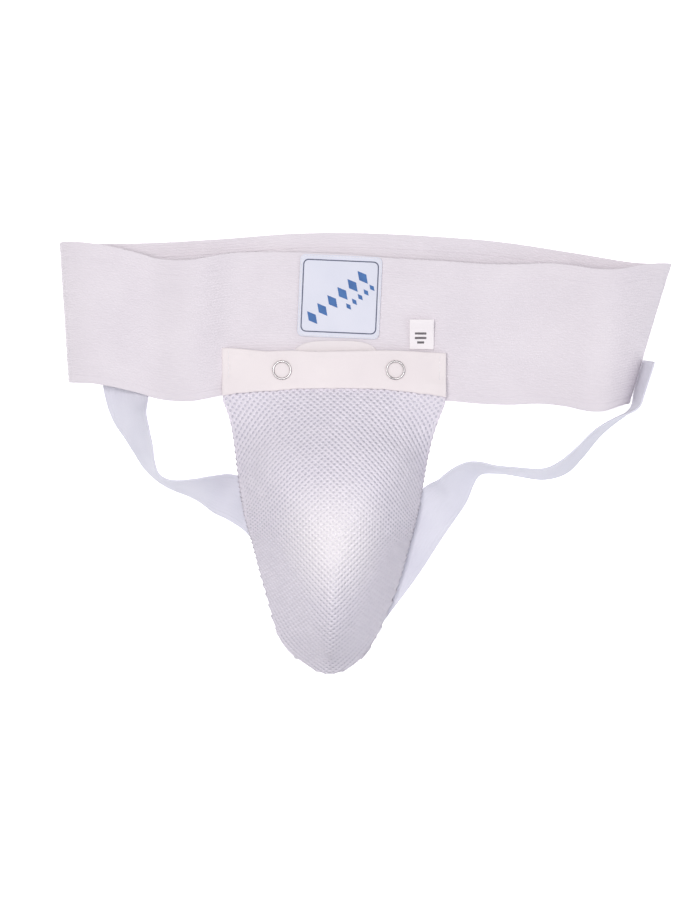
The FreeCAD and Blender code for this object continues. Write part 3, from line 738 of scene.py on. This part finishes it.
def make_flap():
    """The doubled hem that closes the pouch's mouth, with its end seams and press-stud rings."""
    low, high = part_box("mouth_flap")
    width, middle, half = high.x - low.x, (low.z + high.z) / 2, (high.z - low.z) / 2
    x = edge_spaced(width, 1.0 * MM, 0.5 * MM)[:, None] + low.x
    share = np.concatenate([[0, 0.004, 0.014], np.linspace(0.03, 0.97, 38), [0.986, 0.996, 1]])
    head = (high.y + 1.9 * MM * smoothstep(-50 * MM, -76 * MM, x)
            - 1.0 * MM * smoothstep(20 * MM, 42 * MM, x) + waves(x, 0, 34 * MM, 31) * 0.35 * MM)
    foot = flap_foot(x) + waves(x, 0, 9 * MM, 37) * 0.22 * MM
    y = head + (foot - head) * share
    droop = 1.0 * MM * smoothstep(-58 * MM, -77 * MM, x) + 1.8 * MM * smoothstep(
        23 * MM, 42 * MM, x)
    between = np.exp(-((x + 17 * MM) / (17 * MM)) ** 2)
    boxes = [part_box(f"{s}_snap_ring_front") for s in ("left", "right")]
    ring_y = (boxes[0][0].y + boxes[0][1].y) / 2
    from_rings = [np.hypot(x - (a.x + b.x) / 2, y - ring_y) for a, b in boxes]
    near = sum(np.exp(-(away / (8 * MM)) ** 2) for away in from_rings)
    under_ring = sum((away < 3.9 * MM).astype(float) for away in from_rings)
    soft = waves(x, y, 22 * MM, 41) * 0.3 * MM * np.clip(1 - near, 0, 1)
    grid = grid_of(x, y, middle - droop * smoothstep(0.8, 0.5, share)
                   + 0.9 * MM * smoothstep(0.55, 0.0, share) * between
                   + soft * smoothstep(1.0, 0.8, share))
    edge = np.minimum(np.minimum(x - low.x, high.x - x), np.minimum(head - y, y - foot))
    seams = (low.x + SEAM_INSET, high.x - SEAM_INSET)
    seam = sum(np.exp(-((x - place) / (0.5 * MM)) ** 2) for place in seams)
    top_seam = np.exp(-((head - y - 2.6 * MM) / (0.4 * MM)) ** 2)
    dent = 0.22 * MM * np.maximum(seam, 0.6 * top_seam) * smoothstep(0, 1 * MM, edge)
    plain = rounded_half(edge, half)
    flap = cloth_sheet("mouth_flap_cloth", grid, plain, plain - dent + 0.2 * MM * under_ring,
                       (x, head - y), FLAP_CLOTH, None)
    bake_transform(flap)
    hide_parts("mouth_flap")
    for number, place in enumerate(seams, start=1):
        column = int(np.argmin(np.abs(x - place)))
        line = grid[column, 4:-16] + UP * (half - 0.1 * MM)
        stitches(f"flap_seam_{number}", line, "flap", pitch=2.0 * MM,
                 radius=0.17 * MM)


# ---------------------------------------------------------------- cup
def keel_x(y):
    """x of the cup's middle line, which wanders a little from straight."""
    return np.interp(y, np.array([-110, -51, -43, 0]) * MM,
                     np.array([-19.5, -16.2, -17.0, -19.5]) * MM)


def ridge(x, y):
    """Height that a blunt ridge adds along the middle of the cup's lower half."""
    centre = keel_x(y)
    along = smoothstep(-50 * MM, -72 * MM, y) * smoothstep(-113 * MM, -104 * MM, y)
    return 2.6 * MM * along * np.exp(-np.abs((x - centre) / (4.6 * MM)) ** 1.4)


def make_cup():
    """The moulded shell: the CAD cup with an even mesh, its ridge and softened edges."""
    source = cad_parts["cup_shell"]
    cup = bpy.data.objects.new("cup", source.data.copy())
    bpy.context.scene.collection.objects.link(cup)
    voxels = cup.modifiers.new("even", "REMESH")
    voxels.mode = "VOXEL"
    voxels.voxel_size = 0.8 * MM
    smoother = cup.modifiers.new("soften", "SMOOTH")
    smoother.factor = 0.5
    smoother.iterations = 3
    graph = bpy.context.evaluated_depsgraph_get()
    mesh = bpy.data.meshes.new_from_object(cup.evaluated_get(graph))
    cup.modifiers.clear()
    cup.data = mesh
    co = np.zeros(len(mesh.vertices) * 3, np.float32)
    mesh.vertices.foreach_get("co", co)
    co = co.reshape(-1, 3)
    co[:, 2] += ridge(co[:, 0], co[:, 1])
    mesh.vertices.foreach_set("co", co.ravel())
    mesh.polygons.foreach_set("use_smooth", np.ones(len(mesh.polygons), bool))
    mesh.materials.clear()
    mesh.materials.append(CUP_PLASTIC)
    mesh.update()
    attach(cup, "cup")
    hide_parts("cup_shell")
    return cup


def give_material(node, material):
    """A CAD node keeps its shape and gets a better material."""
    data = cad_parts[node].data
    data.materials.clear()
    data.materials.append(material)
    data.polygons.foreach_set("use_smooth", np.ones(len(data.polygons), bool))


# ---------------------------------------------------------------- net, lining and binding
def pouch_edges(y):
    """x of the pouch's left and right edge at a y."""
    dense = smooth_path(POUCH_EDGE_MM, 12, False)[::-1] * MM
    return np.interp(y, dense[:, 0], dense[:, 1]), np.interp(y, dense[:, 0], dense[:, 2])


def foot_height(y):
    """Height of the pouch's bound edge at a y, rising from the tip to the hem."""
    low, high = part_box("pouch_binding")
    share = np.clip((y - low.y) / (high.y - low.y), 0, 1.1)
    return low.z + 0.5 * MM + share * (high.z - low.z - 1.0 * MM)


def net_height_field(cup):
    """Heights of a taut net over the cup on a fine grid, by repeated levelling."""
    step = 1.0 * MM
    xs = np.arange(-82 * MM, 48 * MM, step)
    ys = np.arange(-122 * MM, 40 * MM, step)
    tree = BVHTree.FromObject(cup, bpy.context.evaluated_depsgraph_get())
    obstacle = np.full((len(xs), len(ys)), -1.0)
    for i, x in enumerate(xs):
        for j, y in enumerate(ys):
            hit = tree.ray_cast(Vector((x, y, 0.2)), Vector((0, 0, -1)))[0]
            if hit is not None:
                obstacle[i, j] = hit.z
    solid = obstacle > 0
    for _ in range(4):      # fill the narrow pits that rays fall through
        near = np.maximum.reduce([np.roll(obstacle, s, axis=a) for s in (-1, 1) for a in (0, 1)])
        obstacle = np.where(obstacle < near - 4 * MM, np.where(solid, near, obstacle), obstacle)
    left, right = pouch_edges(ys)
    inside = (xs[:, None] > left[None, :]) & (xs[:, None] < right[None, :])
    inside &= (ys < NET_TOP_Y - 3 * MM)[None, :] & (ys > NET_FOOT_Y + 0.1 * MM)[None, :]
    edge = foot_height(ys)
    edge = edge + (HEM_HEIGHT - edge) * smoothstep(12 * MM, 32 * MM, ys)
    height = np.broadcast_to(edge[None, :], obstacle.shape).copy()
    floor = np.where(solid, obstacle + NET_CLEARANCE, 0)
    for _ in range(1400):
        level = (np.roll(height, 1, 0) + np.roll(height, -1, 0) + np.roll(height, 1, 1)
                 + np.roll(height, -1, 1)) / 4
        height = np.where(inside, np.maximum(level, floor), height)
    return xs, ys, height


def make_net(cup):
    """The net: a spacer knit with staggered dimples between its ribs, stretched over the cup. Its
    dimple floors away from the edge are coloured darker as painted shade.
    """
    xs, ys, height = net_height_field(cup)

    def height_at(x, y):
        i = np.clip((x - xs[0]) / (xs[1] - xs[0]), 0, len(xs) - 1.001)
        j = np.clip((y - ys[0]) / (ys[1] - ys[0]), 0, len(ys) - 1.001)
        i0, j0 = i.astype(int), j.astype(int)
        fi, fj = i - i0, j - j0
        return ((height[i0, j0] * (1 - fi) + height[i0 + 1, j0] * fi) * (1 - fj)
                + (height[i0, j0 + 1] * (1 - fi) + height[i0 + 1, j0 + 1] * fi) * fj)

    line_y = np.linspace(NET_TOP_Y, NET_FOOT_Y, 900)
    hem = smoothstep(14 * MM, NET_TOP_Y, line_y)[:, None]
    left, right = pouch_edges(line_y)
    centre_x = (left + right) / 2
    spine = np.column_stack([line_y, height_at(centre_x, line_y)])
    down = arc_lengths(spine * np.array([1, NET_STEEPNESS]))
    samples = 241
    span = np.linspace(-1, 1, samples)
    half = (right - left) / 2
    row_x = centre_x[:, None] + half[:, None] * span[None, :]
    row_y = line_y[:, None] - hem * (NET_TOP_Y - 2.0 * MM - flap_foot(row_x))
    row_z = height_at(row_x, row_y)
    steps = np.hypot(np.diff(row_x, axis=1), np.diff(row_z, axis=1) * NET_STEEPNESS)
    arc = np.concatenate([np.zeros((len(line_y), 1)), np.cumsum(steps, axis=1)], axis=1)
    middle = samples // 2
    arc = arc - arc[:, middle:middle + 1]
    slack = np.clip((arc[:, -1] - arc[:, 0]) / NET_FULL_WIDTH, 0.9, 1.2)

    def row_at(across, along):
        """The line across the pouch that a yarn course runs through, as courses bow."""
        bow = NET_BOW * (across / (50 * MM)) ** 2 * math.sin(math.tau * along / down[-1])
        where = np.interp(along + bow, down, np.arange(len(down)))
        return int(min(max(round(where), 0), len(down) - 1))

    def surface(across, along):
        """Point of the net's middle at yarn coordinates, held within the pouch's edge."""
        row = row_at(across, along)
        reach = np.clip(across * slack[row], arc[row, 0], arc[row, -1])
        x = np.interp(reach, arc[row], row_x[row])
        return np.array([x, np.interp(x, row_x[row], row_y[row]),
                         np.interp(x, row_x[row], row_z[row])])

    def lean(x, y):
        """Which strands stand proud: 1 for those that run down to the right, -1 the others."""
        turn = (x - keel_x(y)) * (y - NET_APEX_Y) / (15 * MM) ** 2
        return math.tanh(turn) * smoothstep(33 * MM, 14 * MM, y)

    verts, faces, ground, lattice, sides = [], [], [], {}, {}
    quarter_a, quarter_b = NET_CELL / 4, NET_ROW / 4
    spare = 0.45 * NET_CELL
    corners = [(-2, 0), (-1, 1), (0, 2), (1, 1), (2, 0), (1, -1), (0, -2), (-1, -1)]
    columns = int(max(-arc[:, 0].min(), arc[:, -1].max()) / NET_CELL) + 2
    courses = int(down[-1] / (NET_ROW / 2)) + 1

    def proud(i, j, leaning):
        """1 for a strand that stands proud at a lattice place, -1 for one that sinks."""
        if i % 2 == 0:
            return 0        # where strands cross
        return leaning if (i - j) % 4 == 2 else -leaning

    def frame_at(across, along):
        """Position and outward direction at yarn coordinates; upwards where the net is pinched."""
        nudge = 0.5 * MM
        p = surface(across, along)
        a = surface(across + nudge, along) - surface(across - nudge, along)
        b = surface(across, along + nudge) - surface(across, along - nudge)
        n = np.cross(b, a)
        size = np.linalg.norm(n)
        spread = np.linalg.norm(a) * np.linalg.norm(b)
        n = n / size if size > max(0.3 * spread, 1e-12) else UP
        return p, n if n[2] > 0 else -n

    def corner_vertex(i, j):
        """Numbers of the vertices on the crest and on the back at a lattice place."""
        if (i, j) not in lattice:
            p, n = frame_at(i * quarter_a, j * quarter_b)
            rise = 0.85 + 0.75 * proud(i, j, lean(p[0], p[1])) if i % 2 else 1.0
            lattice[i, j] = len(verts), len(verts) + 1
            verts.extend([p + n * NET_CREST * min(max(rise, 0.05), 1.1), p + n * NET_BACK])
        return lattice[i, j]

    for j in range(courses + 1):
        along = j * NET_ROW / 2
        if along > down[-1] - 0.8 * MM:
            continue
        for i in range(-columns, columns + 1):
            centre = i * 4 + (2 if j % 2 else 0)
            across = centre * quarter_a
            row = row_at(across, along)
            reach = across * slack[row]
            if reach < arc[row, 0] - spare or reach > arc[row, -1] + spare:
                continue
            ring = [corner_vertex(centre + a, j * 2 + b) for a, b in corners]
            middle_point, normal = frame_at(across, along)
            leaning = lean(middle_point[0], middle_point[1])
            hole = []
            for a, b in corners:
                wide = NET_HOLE * (1 - 0.3 * proud(centre + a, j * 2 + b, leaning))
                size = math.hypot(a, b) / wide
                point = surface(across + a / size * quarter_a, along + b / size * quarter_b)
                hole.append(len(verts))
                verts.append(point + normal * NET_RIM)
            # the floors of dimples away from the edge are listed for the darker colour: painted
            # shade
            if arc[row, 0] + spare < reach < arc[row, -1] - spare:      # away from the edge
                ground.append(len(faces))
            faces.append(hole)
            faces.append([under for _, under in ring[::-1]])
            for k in range(8):
                after = (k + 1) % 8
                edge = (ring[k][0], ring[after][0])
                faces.append((*edge, hole[after], hole[k]))
                sides.setdefault(tuple(sorted(edge)), []).append((ring[k], ring[after]))
    for pairs in sides.values():
        if len(pairs) == 1:
            (top_a, under_a), (top_b, under_b) = pairs[0]
            faces.append((top_b, top_a, under_a, under_b))
    net = add_object("pouch_net", verts, faces, NET_YARN, "root")
    # second material: the darker painted-shade colour for the listed dimple floors
    net.data.materials.append(NET_SHADED_GROUND)
    for face in ground:
        net.data.polygons[face].material_index = 1
    merged = bmesh.new()
    merged.from_mesh(net.data)
    bmesh.ops.remove_doubles(merged, verts=merged.verts, dist=0.03 * MM)
    merged.to_mesh(net.data)
    merged.free()
    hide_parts("pouch_mesh")
    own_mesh(net)


def make_lining():
    """The cloth back of the pouch, following the bound edge."""
    low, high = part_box("pocket_lining")
    ys = np.concatenate([np.linspace(high.y, -112 * MM, 96), np.linspace(-113 * MM, low.y, 10)])
    left, right = pouch_edges(ys)
    inset = 0.8 * MM
    width = np.maximum((right - left) / 2 - inset, 1.2 * MM)
    centre = (left + right) / 2
    span = np.sin(np.linspace(-1, 1, 81) * math.pi / 2)
    x = centre[:, None] + width[:, None] * span[None, :]
    rise = (ys - low.y) / (high.y - low.y)
    thick = 0.7 * MM
    base = low.z + thick / 2 + rise * (high.z - low.z - 1.0 * MM)
    inner = smoothstep(1.0, 0.7, np.abs(span))
    soft = waves(x, ys[:, None], 34 * MM, 53) * 0.25 * MM
    grid = grid_of(x, ys[:, None], base[:, None] + soft * inner + 0.1 * MM)
    edge = np.minimum(width[:, None] * (1 - np.abs(span))[None, :],
                      np.minimum(high.y - ys, ys - low.y)[:, None])
    half = rounded_half(edge, thick / 2)
    lining = cloth_sheet("lining", grid, half, half, (x, ys[:, None]), LINING_CLOTH, "root")
    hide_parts("pocket_lining")


# Section of the binding tape in millimetres, outwards and upwards from the pouch's edge: a short
# leg over the net, the fold, and a longer leg under the lining.
BINDING_SECTION_MM = [
    (-1.9, 0.62), (-1.2, 0.72), (-0.4, 0.66), (0.2, 0.38), (0.5, -0.15), (0.45, -0.8),
    (0.1, -1.35), (-0.6, -1.62), (-1.6, -1.68), (-2.8, -1.7), (-4.0, -1.7), (-5.0, -1.7),
    (-5.8, -1.7),
]


def make_binding():
    """The folded tape that joins net and lining round the pouch."""
    dense = smooth_path(POUCH_EDGE_MM, 10, False) * MM
    left = np.column_stack([dense[:, 1], dense[:, 0]])
    right = np.column_stack([dense[:, 2], dense[:, 0]])[::-1]
    outline = np.vstack([left, right])
    travelled = arc_lengths(outline)
    path, places = respaced(outline, travelled, 240)
    along = unit(np.gradient(path, axis=0))
    outward = np.column_stack([along[:, 1], -along[:, 0]])
    section = np.array(BINDING_SECTION_MM) * MM
    across = arc_lengths(section)
    flat = path[:, None] + outward[:, None] * (section[:, 0] - 0.7 * MM)[None, :, None]
    grid = grid_of(flat[..., 0], flat[..., 1], foot_height(path[:, 1])[:, None] + section[:, 1])
    edge = np.minimum(across, across[-1] - across)
    half = rounded_half(edge + 0.01 * MM, 0.2 * MM)
    thick = np.broadcast_to(half, grid.shape[:2])
    binding = cloth_sheet("binding", grid, thick, thick, (places[:, None], across[None, :]),
                          BINDING_CLOTH, "root")
    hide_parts("pouch_binding")


# ---------------------------------------------------------------- stage
def make_stage():
    """A plain pale floor, soft studio light and the overhead camera."""
    floor_mesh = bpy.data.meshes.new("floor")
    size = 12.0
    floor_mesh.from_pydata([(-size, -size, 0), (size, -size, 0), (size, size, 0),
                            (-size, size, 0)], [], [(0, 1, 2, 3)])
    floor = bpy.data.objects.new("floor", floor_mesh)
    floor.location.z = -0.2 * MM
    bpy.context.scene.collection.objects.link(floor)
    nodes = Nodes("floor")
    place = nodes.add("ShaderNodeTexCoord", {}).outputs["Object"]
    nodes.fill(nodes.shader, {
        "Base Color": nodes.mixed(nodes.noise(place, 1.2, 2.0), (0.93, 0.93, 0.93, 1),
                                  (0.95, 0.95, 0.95, 1)),
        "Roughness": 0.95, "Emission Color": (1, 1, 1, 1), "Emission Strength": 0.6})
    floor_mesh.materials.append(nodes.material)

    world = bpy.data.worlds.new("studio")
    world.use_nodes = True
    sky = world.node_tree.nodes["Background"]
    sky.inputs["Color"].default_value = (0.91, 0.93, 1.0, 1)
    sky.inputs["Strength"].default_value = 0.40
    bpy.context.scene.world = world
    lights = [("key", (-0.22, 0.16, 1.38), 0.7, 12.6, (1.0, 0.985, 0.97)),
              ("fill", (0.9, -0.4, 0.95), 1.2, 3.0, (0.92, 0.94, 1.0))]
    for name, position, width, energy, colour in lights:
        data = bpy.data.lights.new(name, "AREA")
        data.shape = "DISK"
        data.size = width
        data.energy = energy
        data.color = colour
        lamp = bpy.data.objects.new(name, data)
        lamp.location = position
        lamp.rotation_euler = (-Vector(position)).to_track_quat("-Z", "Y").to_euler()
        bpy.context.scene.collection.objects.link(lamp)

    data = bpy.data.cameras.new("camera")
    data.sensor_fit = "VERTICAL"
    distance = 1.25
    view_height = 0.495
    data.angle_y = 2 * math.atan(view_height / 2 / distance)
    camera = bpy.data.objects.new("camera", data)
    aim = Vector((-8.9 * MM, -1.9 * MM, 0))
    tilt = math.radians(2.0)
    camera.location = aim + Vector((0, distance * math.sin(tilt), distance * math.cos(tilt)))
    camera.rotation_euler = (-tilt, 0, 0)
    bpy.context.scene.collection.objects.link(camera)
    bpy.context.scene.camera = camera
    bpy.context.scene.view_settings.view_transform = "Standard"


make_stage()
make_waistband()
make_join_tape()
make_straps()
make_anchor_patch()
make_placket()
make_label()
make_tag()
make_flap()
protective_cup = make_cup()
give_material("cup_gasket", GASKET_RUBBER)
for which in ("left", "right"):
    for piece in ("snap_stud", "snap_socket", "snap_ring_front", "snap_ring_back"):
        give_material(f"{which}_{piece}", SNAP_METAL)
make_net(protective_cup)
make_lining()
make_binding()
